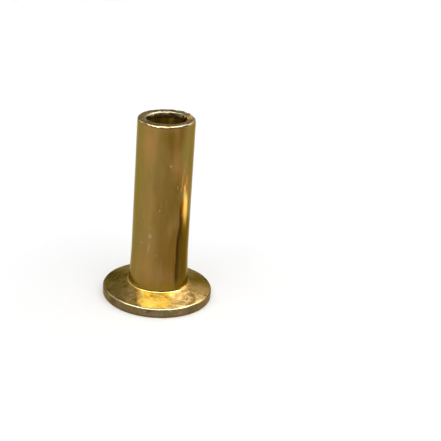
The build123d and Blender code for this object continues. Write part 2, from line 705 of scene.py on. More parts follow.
# %% Mottled skin
FINER = 3.1                  # the fine blotches are this many times smaller than the coarse
COARSE_SHARE, FINE_SHARE = 0.6, 0.4
PALE_WIDTH = 0.07            # pale blotches are full this far above their start
DARK_FROM, DARK_TO = 0.12, 0.07  # dark ones fade out between these distances below it
MOTTLE, bench, given, result = new_group(
    "Mottled skin",
    [
        ("Position", "vector", None),
        ("Blotches per mm", "value", 2.2),
        ("Pale from", "value", 0.52),
    ],
    [("Pale", "value"), ("Dark", "value"), ("Height", "value")],
)
coarse = bench.clouds(given["Position"], given["Blotches per mm"], 4.0, 0.65)
fine = bench.clouds(given["Position"], bench.times(given["Blotches per mm"], FINER), 2.0)
both = bench.plus(bench.times(coarse, COARSE_SHARE), bench.times(fine, FINE_SHARE))
pale_from = given["Pale from"]
dark_from = bench.minus(pale_from, DARK_FROM)
dark_to = bench.minus(pale_from, DARK_TO)
bench.feed(result["Pale"], bench.ramp(both, pale_from, bench.plus(pale_from, PALE_WIDTH)))
bench.feed(result["Dark"], bench.rest(bench.ramp(both, dark_from, dark_to)))
bench.feed(result["Height"], both)
report(MOTTLE)

# %% [markdown]
# ## Group: turned rings
# The header's punch was turned on a lathe, and the rivet's face takes its print:
# fine concentric lines. A sine of the radius gives them, broken up by noise so
# that they come and go round the face.

# %% Turned rings
WANDER_PER_MM, WANDER = 0.8, 0.2     # how often the rings wander, and how far in millimetres
RINGS, bench, given, result = new_group(
    "Turned rings",
    [("Position", "vector", None), ("Radius", "value", None), ("Rings per mm", "value", 5.0)],
    [("Rings", "value")],
)
wander = bench.times(bench.clouds(given["Position"], WANDER_PER_MM, 2.0), WANDER)
turns = bench.times(bench.plus(given["Radius"], wander), given["Rings per mm"])
wave = bench.math("SINE", bench.times(turns, 2 * math.pi))
bench.feed(result["Rings"], bench.times(bench.plus(wave, 1.0), 0.5))
report(RINGS)

# %% [markdown]
# ## Group: smudge
# Some marks are single ones: a rose patch where two rivets touched in the bath, a
# scuff, a tiny knock. A smudge is an ellipsoid round a place on the skin, with its
# outline frayed by noise. Its half sizes are in millimetres along each axis, and
# it is full out to its core.

# %% Smudge
SMUDGE, bench, given, result = new_group(
    "Smudge",
    [
        ("Position", "vector", None),
        ("Centre", "vector", (0, 0, 0)),
        ("Half size", "vector", (1, 1, 1)),
        ("Frays per mm", "value", 1.5),
        ("Fraying", "value", 0.8),
        ("Core", "value", 0.5),
    ],
    [("Mask", "value")],
)
away = bench.vector("SUBTRACT", given["Position"], given["Centre"])
far = bench.length(bench.vector("DIVIDE", away, given["Half size"]))
frays = bench.minus(bench.clouds(given["Position"], given["Frays per mm"]), 0.5)
frayed = bench.plus(far, bench.times(frays, given["Fraying"]))
bench.feed(result["Mask"], bench.rest(bench.ramp(frayed, given["Core"], 1.0)))
report(SMUDGE)

# %% [markdown]
# ## The six materials
# Each zone of the rivet uses the same groups with its own values. The metal itself
# is one Principled shader with Metallic at 1. The film's colour goes to Base
# Color, and zinc shows through where the film is rubbed or knocked off.

# %% What the materials have in common
ZINC = (0.72, 0.66, 0.52, 1)
THIN_FILM = (0.66, 0.58, 0.36, 1)
EDGE_TINT = (0.75, 0.64, 0.45, 1)
PIT_AND_SHADE = (0.07, 0.04, 0.012, 1)
BUMP_DISTANCE = 0.02 * MM
# Noise runs from 0 to 1 but is mostly near 0.5, so it is read through a window
WINDOW, WIDE_WINDOW = (0.35, 0.65), (0.3, 0.7)
print(f"a bump of 1 stands {BUMP_DISTANCE / MM:.2f} mm high")


def start_material(name):
    """A metal with its place on the rivet ready to use."""
    material = bpy.data.materials.new(name)
    material.use_nodes = True
    tree = material.node_tree
    shader = tree.nodes["Principled BSDF"]
    shader.inputs["Metallic"].default_value = 1.0
    shader.inputs["Specular Tint"].default_value = EDGE_TINT
    bench = Bench(tree)
    return material, bench, shader, place_group(bench, PLACE, {})


def add_bump(bench, shader, height, share):
    """Feed the shader's Normal from a height between 0 and 1."""
    bump = bench.add("Bump", {"Height": height, "Strength": share, "Distance": BUMP_DISTANCE})
    bench.feed(shader.inputs["Normal"], bump.outputs["Normal"])


# %% [markdown]
# ## The shank: drawn wire
# The shank's film runs in bands along it: olive, gold and rose towards the left, darker and browner
# towards the right. A colour ramp over Side gives the bands, and a slow noise bends them. Single
# smudges then make this rivet its own: patches of rose and olive, a painted dark reflection low on
# the right, hair-thin orange lines painted as a reflection near the top of the lamp's streak, a
# dark red-brown streak and a few pale knocks.

# %% The shank's bands, and its single marks
SHANK_BANDS = [
    (0.02, (0.225, 0.172, 0.046)),
    (0.13, (0.245, 0.168, 0.036)),
    (0.24, (0.275, 0.168, 0.038)),
    (0.34, (0.280, 0.168, 0.044)),
    (0.46, (0.210, 0.124, 0.026)),
    (0.58, (0.180, 0.096, 0.015)),
    (0.78, (0.162, 0.080, 0.006)),
    (0.90, (0.245, 0.160, 0.044)),
]
# Each mark: angle from the front in degrees, height, half width, half height, share
ROSE_MARKS = [(-34, 15.0, 1.1, 3.2, 0.9), (30, 13.2, 0.9, 2.2, 0.4), (-20, 3.6, 0.9, 2.4, 0.5)]
OLIVE_MARKS = [(-54, 11.4, 0.9, 3.6, 0.9), (55, 14.5, 1.1, 3.0, 0.7)]
BROWN_MARKS = [(13, 16.0, 1.1, 1.3, 0.95), (19, 9.4, 0.9, 2.3, 0.6)]
DARK_STREAK_MARKS = [(48.0, 9.6, 0.20, 0.9, 1.0), (47.5, 8.8, 0.18, 0.7, 0.8)]
# Painted reflection: thin orange lines near the top of the bright streak
ORANGE_REFLECTION_MARKS = [
    (48.3, 13.3, 0.08, 0.50, 0.6),
    (46.2, 12.7, 0.09, 0.50, 0.9),
    (44.4, 12.1, 0.10, 0.50, 1.0),
    (43.4, 11.6, 0.11, 0.45, 1.0),
    (42.0, 11.1, 0.12, 0.40, 0.9),
    (57.0, 11.8, 0.24, 0.80, 0.8),
    (50.5, 11.2, 0.22, 0.30, 0.8),
]
PALE_MARKS = [
    (-18, 6.7, 0.22, 0.30, 0.28),
    (-20, 5.6, 0.14, 0.70, 0.16),
    (-1, 9.25, 0.06, 0.16, 0.60),
    (-4, 9.0, 0.05, 0.07, 0.60),
    (2, 9.75, 0.04, 0.10, 0.60),
    (-3, 4.95, 0.13, 0.06, 0.30),
    (16, 13.4, 0.13, 0.16, 0.35),
    (33, 11.35, 0.08, 0.26, 0.35),
    (-25, 12.9, 0.07, 0.12, 0.40),
    (171, 8.2, 0.16, 0.40, 0.40),
    (120, 12.3, 0.10, 0.16, 0.60),
    (-128, 5.1, 0.10, 0.25, 0.50),
]
# Each kind of mark: its places, its colour, and how much of it is full
BROAD_MARKS = [
    (ROSE_MARKS, (0.345, 0.180, 0.050, 1), 0.0),
    (OLIVE_MARKS, (0.225, 0.172, 0.036, 1), 0.0),
    (BROWN_MARKS, (0.145, 0.088, 0.009, 1), 0.0),
]
FINE_MARKS = [
    (DARK_STREAK_MARKS, (0.230, 0.062, 0.0005, 1), 0.4),
    (ORANGE_REFLECTION_MARKS, (0.47, 0.195, 0.045, 1), 0.3),
    (PALE_MARKS, (0.46, 0.42, 0.32, 1), 0.3),
]
FRAYS_PER_MARK = 0.8
print("marks on the shank:", sum(len(marks) for marks, _, _ in BROAD_MARKS + FINE_MARKS))


def on_shank(angle, height):
    """The place on the shank's skin at an angle from the front, in millimetres."""
    turn = math.radians(angle)
    return (SHANK * math.sin(turn), -SHANK * math.cos(turn), height)


def add_marks(bench, spot, colour, kinds):
    """Lay smudges of several kinds over a colour."""
    for marks, mark_colour, core in kinds:
        for angle, height, wide, tall, share in marks:
            smudge = place_group(bench, SMUDGE, {
                "Position": spot,
                "Centre": on_shank(angle, height),
                "Half size": (wide, wide, tall),
                "Frays per mm": FRAYS_PER_MARK / wide,
                "Core": core,
            })
            colour = bench.lay(colour, mark_colour, smudge["Mask"], share)
    return colour


# %% The shank: the bands and the clouds of its film
ALONG = (1, 1, 0.35)         # noise drawn out along the shank: height counts this much
BEND_PER_MM, BEND_SHARE = 0.5, 0.22

shank_metal, bench, shader, where = start_material("shank_metal")
spot = where["Position"]
bend = bench.minus(bench.clouds(bench.vector("MULTIPLY", spot, ALONG), BEND_PER_MM), 0.5)
side = bench.plus(where["Side"], bench.times(bend, BEND_SHARE))
left_to_right = bench.add("MapRange", {"Value": side, "From Min": -1.0, "From Max": 1.0})
film = place_group(bench, FILM, {
    "Position": spot,
    "Gold": bench.bands(left_to_right.outputs["Result"], SHANK_BANDS),
    "Olive": (0.185, 0.130, 0.030, 1),
    "Rose": (0.29, 0.165, 0.055, 1),
    "Brown": (0.17, 0.085, 0.018, 1),
    "Clouds per mm": 0.7,
    "Stretch": ALONG,
    "Olive from": 0.56,
    "Rose from": 0.56,
    "Brown from": 0.60,
    "Strength": 0.45,
})
report(shank_metal)

# %% The shank: a painted dark reflection down its right side
DARK_REFLECTION_LEFT_EDGE = (0.60, 0.65)       # in Side: darkest just inside this edge
DARK_REFLECTION_LIMB = (0.67, 0.80)            # in Side: paler beyond
DARK_REFLECTION_BACK_EDGE = (-0.42, -0.05)     # in Back: it fades before it gets behind
DARK_REFLECTION_TOP = (8.9, 10.4)              # in millimetres of height
LIMB_DROP = 1.3                      # its pale part ends this much lower
DARK_REFLECTION_SHARE = 0.95
DARK_REFLECTION_DEEP, DARK_REFLECTION_PALE = (0.044, 0.015, 0.0004, 1), (0.092, 0.050, 0.003, 1)

# Painted dark reflection: the right of the shank is darkened low down and in front.
limb = bench.ramp(side, *DARK_REFLECTION_LIMB)
dark_reflection_height = bench.plus(where["Height"], bench.times(limb, LIMB_DROP))
below_top = bench.rest(bench.ramp(dark_reflection_height, *DARK_REFLECTION_TOP))
in_front = bench.rest(bench.ramp(where["Back"], *DARK_REFLECTION_BACK_EDGE))
dark_reflection_mask = bench.times(bench.times(bench.ramp(side, *DARK_REFLECTION_LEFT_EDGE), in_front), below_top)
colour = bench.lay(film["Color"], bench.mix(limb, DARK_REFLECTION_DEEP, DARK_REFLECTION_PALE), dark_reflection_mask, DARK_REFLECTION_SHARE)
report(shank_metal)

# %% The shank: marks, draw lines, specks, and painted shade at its foot
LINE_GLINT, LINE_SHARE = (0.33, 0.23, 0.09, 1), 0.08
LINE_HEIGHT = 0.5            # as a share of the height of a pit
PIT_SHARE, SPECK_SHARE = 0.5, 0.35
FOOT_SHADE_TOP = (1.6, 2.9)                # in millimetres of height
FOOT_SHADE, FOOT_SHADE_SHARE = (0.240, 0.140, 0.013, 1), 0.6
BARE_SHARE = 0.15
SHANK_ROUGHNESS = (0.13, 0.22)

colour = add_marks(bench, spot, colour, BROAD_MARKS)
skin_marks = place_group(bench, SKIN, {"Position": spot})
lines = skin_marks["Lines"]
colour = bench.lay(colour, LINE_GLINT, bench.ramp(lines, *WINDOW), LINE_SHARE)
dots = place_group(bench, SPECKS, {
    "Position": spot,
    "Cells per mm": 1.3,
    "Speck share": 0.10,
    "Pit share": 0.10,
    "Spot size": 0.13,
})
colour = bench.lay(colour, PIT_AND_SHADE, dots["Pits"], PIT_SHARE)
colour = bench.lay(colour, ZINC, dots["Specks"], SPECK_SHARE)
colour = add_marks(bench, spot, colour, FINE_MARKS)
# Painted shade: the shank is darker and more saturated low down, next to the cone.
foot = bench.rest(bench.ramp(where["Height"], *FOOT_SHADE_TOP))
colour = bench.lay(colour, FOOT_SHADE, foot, FOOT_SHADE_SHARE)
edges = place_group(bench, EDGES, {"Position": spot, "Rubbed from": 0.45})
colour = bench.lay(colour, THIN_FILM, edges["Rubbed"], BARE_SHARE)
bench.feed(shader.inputs["Base Color"], colour)
bench.feed(shader.inputs["Roughness"], bench.ramp(lines, *WIDE_WINDOW, *SHANK_ROUGHNESS))
height = bench.plus(bench.times(lines, LINE_HEIGHT), dots["Height"])
add_bump(bench, shader, bench.plus(height, skin_marks["Grain"]), share=0.15)
report(shank_metal)

# %% [markdown]
# ## The cone: pressed by the die
# The cone was squeezed in the die, so it is dimpled and blotchy. In front it is pale, palest next
# to the shank: a pale film laid where the shank's bright reflection falls on the cone, so it is
# partly a painted reflection that the lamps make bright. To the left and the right it is gold, rose
# and brown, and behind it is darkened with painted shade. Masks say where each film lies, measured
# in millimetres across the head, and five sets of colours are blended by them before the clouds are
# laid over.

# %% The cone: where its films lie, the pale front partly a painted reflection
INNER_EDGE = (2.9, 3.7)              # in Radius: from the inner to the outer film
LEFT_EDGE, LEFT_SKEW = (1.30, 1.62), 0.15    # to the left; nearer the middle close to the shank
RIGHT_EDGE = (1.50, 1.90)            # to the right: where the front's own right part starts
RIGHT_SIDE_EDGE = (1.90, 2.30)       # and where the right side's film starts
MIDDLE = (-0.5, 0.5)
BEHIND_EDGE = (-0.25, 0.35)          # in Back

cone_metal, bench, shader, where = start_material("cone_metal")
spot = where["Position"]
across = bench.times(where["Side"], where["Radius"])
inner = bench.rest(bench.ramp(where["Radius"], *INNER_EDGE))
leftward = bench.minus(bench.times(inner, LEFT_SKEW), across)
sides = bench.most(bench.ramp(leftward, *LEFT_EDGE), bench.ramp(across, *RIGHT_SIDE_EDGE))
front_right = bench.ramp(across, *RIGHT_EDGE)
on_right = bench.ramp(across, *MIDDLE)
behind = bench.ramp(where["Back"], *BEHIND_EDGE)
round_about = bench.most(sides, behind)
report(cone_metal)

# %% The cone: the colours of its film, blended by those masks
# Each colour: front outer, front inner, front right, left side, right side; the pale fronts are
# partly painted reflection
CONE_FILMS_AND_PAINTED_REFLECTION = {
    "Gold": (
        (0.47, 0.53, 0.39, 1),
        (0.83, 0.92, 0.66, 1),
        (0.50, 0.34, 0.11, 1),
        (0.70, 0.50, 0.12, 1),
        (0.82, 0.54, 0.18, 1),
    ),
    "Olive": (
        (0.42, 0.48, 0.31, 1),
        (0.72, 0.82, 0.51, 1),
        (0.46, 0.33, 0.10, 1),
        (0.60, 0.44, 0.09, 1),
        (0.60, 0.44, 0.09, 1),
    ),
    "Rose": (
        (0.50, 0.50, 0.35, 1),
        (0.85, 0.86, 0.58, 1),
        (0.56, 0.36, 0.14, 1),
        (0.80, 0.48, 0.14, 1),
        (0.84, 0.55, 0.24, 1),
    ),
    "Brown": (
        (0.42, 0.43, 0.28, 1),
        (0.70, 0.72, 0.42, 1),
        (0.36, 0.25, 0.08, 1),
        (0.32, 0.185, 0.040, 1),
        (0.32, 0.185, 0.040, 1),
    ),
}
blended = {}
for label, (front_outer, front_inner, right_part, left_side, right_side) in CONE_FILMS_AND_PAINTED_REFLECTION.items():
    front = bench.mix(front_right, bench.mix(inner, front_outer, front_inner), right_part)
    blended[label] = bench.mix(round_about, front, bench.mix(on_right, left_side, right_side))
film = place_group(bench, FILM, {
    "Position": spot,
    **blended,
    "Clouds per mm": 0.7,
    "Olive from": 0.55,
    "Rose from": 0.55,
    "Brown from": 0.56,
})
report(cone_metal)

# %% The cone: blotches, a darker film by the foot on the right, and painted shade towards its sides and behind
DARK_BLOTCH, PALE_BLOTCH = (0.30, 0.20, 0.06, 1), (0.80, 0.64, 0.36, 1)
BLOTCH_SHARE = 0.45
BY_FOOT_EDGE, FOOT_RIGHT_EDGE = (3.2, 3.9), (1.80, 2.10)
BY_FOOT_FILM, BY_FOOT_SHARE = (0.34, 0.20, 0.06, 1), 0.75
FAR_RIGHT_EDGE = (-0.60, -0.30)      # in Back
FAR_RIGHT_SHADE, FAR_RIGHT_SHARE = (0.30, 0.18, 0.06, 1), 0.45
DULL_MIDDLE, DULL_EDGE = 0.2, (2.1, 3.5)     # dull from so far to either side of this middle
SIDE_SHADE, DULL_LEFT, DULL_RIGHT = (0.17, 0.105, 0.028, 1), 0.62, 0.40
BEHIND_SHADE, BEHIND_SHARE = (0.062, 0.040, 0.007, 1), 0.86

blotches = place_group(bench, MOTTLE, {"Position": spot, "Blotches per mm": 1.9})
colour = bench.lay(film["Color"], DARK_BLOTCH, blotches["Dark"], BLOTCH_SHARE)
colour = bench.lay(colour, PALE_BLOTCH, blotches["Pale"], BLOTCH_SHARE)
by_foot = bench.rest(bench.ramp(where["Radius"], *BY_FOOT_EDGE))
foot_right = bench.times(by_foot, bench.ramp(across, *FOOT_RIGHT_EDGE))
colour = bench.lay(colour, BY_FOOT_FILM, foot_right, BY_FOOT_SHARE)
# Painted shade from here on: darker towards the right and the back, far to either side, and most
# behind.
far_right = bench.times(on_right, bench.ramp(where["Back"], *FAR_RIGHT_EDGE))
colour = bench.lay(colour, FAR_RIGHT_SHADE, far_right, FAR_RIGHT_SHARE)
sideways = bench.math("ABSOLUTE", bench.minus(across, DULL_MIDDLE))
dull_share = bench.ramp(across, *MIDDLE, DULL_LEFT, DULL_RIGHT)
colour = bench.lay(colour, SIDE_SHADE, bench.ramp(sideways, *DULL_EDGE), dull_share)
colour = bench.lay(colour, BEHIND_SHADE, behind, BEHIND_SHARE)
report(cone_metal)

# %% The cone: pits, a painted highlight ring at the shank's foot, and the film held in its fillet
HIGHLIGHT_RING_EDGE = (2.86, 3.02)        # in Radius: a painted highlight ring lies inside it, in front
HIGHLIGHT_RING = (0.84, 0.74, 0.30, 1)
HELD_FILM = (0.22, 0.16, 0.045, 1)

dots = place_group(bench, SPECKS, {
    "Position": spot,
    "Cells per mm": 2.0,
    "Speck share": 0.14,
    "Pit share": 0.16,
    "Spot size": 0.35,
})
edges = place_group(bench, EDGES, {"Position": spot, "Rubbed from": 0.25})
colour = bench.lay(colour, PIT_AND_SHADE, dots["Pits"], share=0.6)
highlight_ring = bench.rest(bench.ramp(where["Radius"], *HIGHLIGHT_RING_EDGE))
colour = bench.mix(bench.times(highlight_ring, bench.rest(round_about)), colour, HIGHLIGHT_RING)
colour = bench.mix(edges["Sheltered"], colour, HELD_FILM)
report(cone_metal)

# %% The cone: its worn edge in front, with painted shade on it round the sides and the back
WORN_EDGE, SHADED_EDGE = (0.21, 0.18, 0.112, 1), (0.05, 0.036, 0.022, 1)
SIDE_EDGE = (0.78, 0.97)             # in Side, to the left and the right alike
DULL_EDGE_ROUGHNESS = 0.7
CONE_ROUGHNESS = (0.14, 0.26)
SPECK_BARENESS = 0.5         # how bare a speck is next to a rubbed edge
PIT_DEPTH = 0.5              # as a share of the height of a blotch


def side_or_back(bench, where):
    """A share that is 0 in front and 1 round the sides and the back."""
    beside = bench.ramp(bench.math("ABSOLUTE", where["Side"]), *SIDE_EDGE)
    return bench.most(bench.ramp(where["Back"], *BEHIND_EDGE), beside)


around = side_or_back(bench, where)
# Painted shade: edges round the sides and the back get a dark colour in place of the pale rubbed
# one.
worn_and_shaded_edge = bench.mix(around, WORN_EDGE, SHADED_EDGE)
bare = bench.most(edges["Rubbed"], bench.times(dots["Specks"], SPECK_BARENESS))
bench.feed(shader.inputs["Base Color"], bench.mix(bare, colour, worn_and_shaded_edge))
dull_edge = bench.times(bench.times(around, edges["Exposed"]), DULL_EDGE_ROUGHNESS)
polish = bench.ramp(blotches["Height"], *WINDOW, *CONE_ROUGHNESS)
bench.feed(shader.inputs["Roughness"], bench.most(polish, dull_edge))
height = bench.plus(blotches["Height"], bench.times(dots["Height"], PIT_DEPTH))
add_bump(bench, shader, height, share=0.45)
report(cone_metal)

# %% [markdown]
# ## The rim: the upright band
# The band round the head was the last metal to fill the die, so it is greyer and patchy, and
# rougher than the rest. Its lowest edge is darkened with painted shade. Its edges are worn in front
# and darkened with painted shade round the sides and the back.

# %% The rim
PALE_PATCH = (0.34, 0.27, 0.19, 1)
LOW_EDGE_SHADE = (0.08, 0.30)              # in millimetres of height
RIM_ROUGHNESS = (0.2, 0.36)

rim_metal, bench, shader, where = start_material("rim_metal")
spot = where["Position"]
film = place_group(bench, FILM, {
    "Position": spot,
    "Gold": (0.185, 0.122, 0.046, 1),
    "Olive": (0.150, 0.115, 0.042, 1),
    "Rose": (0.225, 0.140, 0.085, 1),
    "Brown": (0.085, 0.052, 0.020, 1),
    "Clouds per mm": 0.5,
    "Olive from": 0.5,
    "Rose from": 0.53,
    "Brown from": 0.62,
})
blotches = place_group(bench, MOTTLE, {"Position": spot, "Blotches per mm": 1.5, "Pale from": 0.56})
edges = place_group(bench, EDGES, {"Position": spot, "Rubbed from": 0.45})
colour = bench.lay(film["Color"], PALE_PATCH, blotches["Pale"], share=0.4)
# Painted shade: the band's lowest edge is darkened with the pits' colour and kept from being rubbed
# pale.
low_edge_shade = bench.rest(bench.ramp(where["Height"], *LOW_EDGE_SHADE))
colour = bench.lay(colour, PIT_AND_SHADE, low_edge_shade, share=0.8)
worn_and_shaded_edge = bench.mix(side_or_back(bench, where), WORN_EDGE, SHADED_EDGE)
rubbed = bench.times(edges["Rubbed"], bench.rest(low_edge_shade))
bench.feed(shader.inputs["Base Color"], bench.mix(rubbed, colour, worn_and_shaded_edge))
bench.feed(shader.inputs["Roughness"], bench.ramp(blotches["Height"], *WINDOW, *RIM_ROUGHNESS))
add_bump(bench, shader, blotches["Height"], share=0.5)
report(rim_metal)

# %% [markdown]
# ## The face: turned rings
# The head's face is the flattest place, so its film is even: broad clouds of gold,
# olive and rose. The rings that the punch printed catch the light as fine lines,
# so they get a colour of their own, a change of roughness and a bump.

# %% The face
RING_GLINT = (0.46, 0.33, 0.13, 1)
FACE_ROUGHNESS = (0.2, 0.32)

face_metal, bench, shader, where = start_material("face_metal")
spot = where["Position"]
film = place_group(bench, FILM, {
    "Position": spot,
    "Gold": (0.36, 0.23, 0.055, 1),
    "Olive": (0.25, 0.225, 0.045, 1),
    "Rose": (0.42, 0.19, 0.055, 1),
    "Brown": (0.22, 0.12, 0.030, 1),
    "Clouds per mm": 0.30,
    "Olive from": 0.48,
    "Rose from": 0.53,
    "Brown from": 0.60,
})
rings = place_group(bench, RINGS, {"Position": spot, "Radius": where["Radius"]})
edges = place_group(bench, EDGES, {"Position": spot, "Rubbed from": 0.3})
colour = bench.lay(film["Color"], RING_GLINT, rings["Rings"], share=0.22)
bench.feed(shader.inputs["Base Color"], bench.mix(edges["Rubbed"], colour, THIN_FILM))
bench.feed(shader.inputs["Roughness"], bench.ramp(rings["Rings"], 0.0, 1.0, *FACE_ROUGHNESS))
add_bump(bench, shader, rings["Rings"], share=0.4)
report(face_metal)

# %% [markdown]
# ## The open end: cut off and rolled over
# The cut-off tool left this end raw, so it is pitted and its film is uneven. Its two roundings have
# a greyer film of their own, which keeps their bright lines pale where the lamps are seen in them.
# A pale orange patch lies on the right, and a dark scuff breaks the bright line in front.

# %% The open end
LIP_START = (0.05, 0.60)             # in wear: from the flat of the end onto its roundings
LIP_FILM, LIP_FILM_DARK = (0.18, 0.160, 0.105, 1), (0.12, 0.105, 0.070, 1)
RIGHT_PATCH = {"Centre": (1.96, 0.32, OPEN_END), "Half size": (0.36, 0.75, 0.5)}
RIGHT_PATCH_COLOUR = (0.90, 0.58, 0.22, 1)
SCUFF = {"Centre": (0.30, -2.40, OPEN_END), "Half size": (0.28, 0.30, 0.4)}
SCUFFED_METAL, SCUFF_SHARE = (0.09, 0.065, 0.03, 1), 0.85
LIP_BARE_SHARE = 0.06
LIP_PATCHES_PER_MM = 1.1
PALENESS, MOUTH_ROUGHNESS = (0.1, 0.4), (0.22, 0.32)

mouth_metal, bench, shader, where = start_material("mouth_metal")
spot = where["Position"]
film = place_group(bench, FILM, {
    "Position": spot,
    "Gold": (0.30, 0.225, 0.10, 1),
    "Olive": (0.25, 0.215, 0.12, 1),
    "Rose": (0.36, 0.24, 0.13, 1),
    "Brown": (0.16, 0.11, 0.045, 1),
    "Clouds per mm": 0.9,
})
dots = place_group(bench, SPECKS, {
    "Position": spot,
    "Cells per mm": 2.5,
    "Speck share": 0.10,
    "Pit share": 0.22,
    "Spot size": 0.3,
})
edges = place_group(bench, EDGES, {"Position": spot, "Rubbed from": 0.4})
right_patch = place_group(bench, SMUDGE, {"Position": spot, **RIGHT_PATCH})
scuff = place_group(bench, SMUDGE, {"Position": spot, **SCUFF})
colour = bench.lay(film["Color"], PIT_AND_SHADE, dots["Pits"], share=0.8)
lip_film = bench.mix(bench.clouds(spot, LIP_PATCHES_PER_MM), LIP_FILM, LIP_FILM_DARK)
colour = bench.mix(bench.ramp(edges["Exposed"], *LIP_START), colour, lip_film)
colour = bench.mix(right_patch["Mask"], colour, RIGHT_PATCH_COLOUR)
colour = bench.lay(colour, SCUFFED_METAL, scuff["Mask"], SCUFF_SHARE)
colour = bench.lay(colour, THIN_FILM, bench.most(edges["Rubbed"], dots["Specks"]), LIP_BARE_SHARE)
bench.feed(shader.inputs["Base Color"], colour)
# A paler film is a rougher one: the ramp reads how light the film's colour is
bench.feed(shader.inputs["Roughness"], bench.ramp(film["Color"], *PALENESS, *MOUTH_ROUGHNESS))
add_bump(bench, shader, dots["Height"], share=0.8)
report(mouth_metal)

# %% [markdown]
# ## The hole: dull, and always in shade
# The bath hardly reaches the bore, so its film is thin and its metal rougher. Light
# bounces between the walls many times before it comes out, and every bounce takes
# more of the film's colour. So does the tint of the shader's grazing reflections,
# which is stronger here than outside.

# %% The hole
HOLE_EDGE_TINT = (0.40, 0.28, 0.04, 1)
HOLE_ROUGHNESS = (0.28, 0.42)

hole_metal, bench, shader, where = start_material("hole_metal")
spot = where["Position"]
film = place_group(bench, FILM, {
    "Position": spot,
    "Gold": (0.30, 0.230, 0.030, 1),
    "Olive": (0.28, 0.245, 0.040, 1),
    "Rose": (0.34, 0.205, 0.020, 1),
    "Brown": (0.20, 0.125, 0.010, 1),
    "Clouds per mm": 0.6,
})
skin_marks = place_group(bench, SKIN, {"Position": spot})
edges = place_group(bench, EDGES, {"Position": spot, "Rubbed from": 0.5})
colour = bench.lay(film["Color"], THIN_FILM, edges["Rubbed"], share=0.5)
bench.feed(shader.inputs["Base Color"], colour)
polish = bench.ramp(skin_marks["Lines"], *WIDE_WINDOW, *HOLE_ROUGHNESS)
bench.feed(shader.inputs["Roughness"], polish)
shader.inputs["Specular Tint"].default_value = HOLE_EDGE_TINT
add_bump(bench, shader, skin_marks["Grain"], share=0.6)
report(hole_metal)

# %% [markdown]
# ## Dress the mesh
# Every quad kept the zone of its row, so the zones' numbers are the materials' numbers. The
# finished piece then moves with the rivet's one body and stands for the CAD rivet.

# %% Give each zone its material, and let the piece stand for the CAD rivet
ZONE_METALS = {
    FACE: face_metal,
    RIM: rim_metal,
    CONE: cone_metal,
    SHAFT: shank_metal,
    LAND: mouth_metal,
    HOLE: hole_metal,
}
for zone in sorted(ZONE_METALS):
    skin.materials.append(ZONE_METALS[zone])
skin.polygons.foreach_set("material_index", zones)
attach(rivet, "root")
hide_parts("rivet")
print("materials:", [material.name for material in skin.materials])

# %% [markdown]
# ## The table
# The rivet stands on a wide white table that turns up into a low wall far away, so
# that no view at table height looks past its edge. Polished metal shows whatever
# is around it, so the table is a little brighter to the camera and to reflections
# than its paint alone would be. Its shadow stays, because the paint still does
# most of the work.

# %% Table and wall as one swept disc, in metres
TABLE_REACH = 0.80
TABLE_RINGS = 6              # closer together near the rivet
BEND = 0.10
BEND_STEPS = 12
WALL = 0.12
TABLE_SEGMENTS = 96

profile = [(TABLE_REACH * (k / TABLE_RINGS) ** 2, 0.0) for k in range(1, TABLE_RINGS + 1)]
for k in range(1, BEND_STEPS + 1):
    angle = math.pi / 2 * k / BEND_STEPS
    profile.append((TABLE_REACH + BEND * math.sin(angle), BEND - BEND * math.cos(angle)))
profile.append((TABLE_REACH + BEND, BEND + WALL))

points = [(0.0, 0.0, 0.0)]
for reach, height in profile:
    for j in range(TABLE_SEGMENTS):
        angle = 2 * math.pi * j / TABLE_SEGMENTS
        points.append((reach * math.cos(angle), reach * math.sin(angle), height))
quads = [(0, 1 + j, 1 + (j + 1) % TABLE_SEGMENTS) for j in range(TABLE_SEGMENTS)]
for i in range(len(profile) - 1):
    near = 1 + i * TABLE_SEGMENTS
    far = near + TABLE_SEGMENTS
    for j in range(TABLE_SEGMENTS):
        k = (j + 1) % TABLE_SEGMENTS
        quads.append((near + j, far + j, far + k, near + k))
table_mesh = bpy.data.meshes.new("table")
table_mesh.from_pydata(points, [], quads)
table_mesh.polygons.foreach_set("use_smooth", [True] * len(quads))
table = bpy.data.objects.new("table", table_mesh)
bpy.context.scene.collection.objects.link(table)
print("table faces:", len(table_mesh.polygons))

# %% The table's paint
PAINT = (0.79, 0.80, 0.82, 1)
PAINT_ROUGHNESS, PAINT_GLOSS = 0.9, 0.1
TABLE_GLOW = 0.22

white = bpy.data.materials.new("table_paint")
white.use_nodes = True
bench = Bench(white.node_tree)
paint = white.node_tree.nodes["Principled BSDF"]
paint.inputs["Roughness"].default_value = PAINT_ROUGHNESS
paint.inputs["Specular IOR Level"].default_value = PAINT_GLOSS
paint.inputs["Base Color"].default_value = PAINT
paint.inputs["Emission Color"].default_value = (1, 1, 1, 1)
rays = bench.add("LightPath").outputs
seen = bench.most(rays["Is Camera Ray"], rays["Is Glossy Ray"])
seen = bench.most(seen, rays["Is Transmission Ray"])
bench.feed(paint.inputs["Emission Strength"], bench.times(seen, TABLE_GLOW))
table_mesh.materials.append(white)
report(white)

# %% [markdown]
# ## Lamps
# Polished metal shows its lamps, so a lamp is placed by the line it draws there.
# Seven softboxes in a ring light everything from high up all round, dimmer
# towards the back. A taller and brighter strip round each is seen by the metal
# alone: it gives the rounded edges and the cone their shine, and hardly lights the
# table. One softbox over the front and one low behind on the right fill in. Three
# more lamps are for the metal alone: one straight above, and two low behind, which
# draw bright lines on the open end.

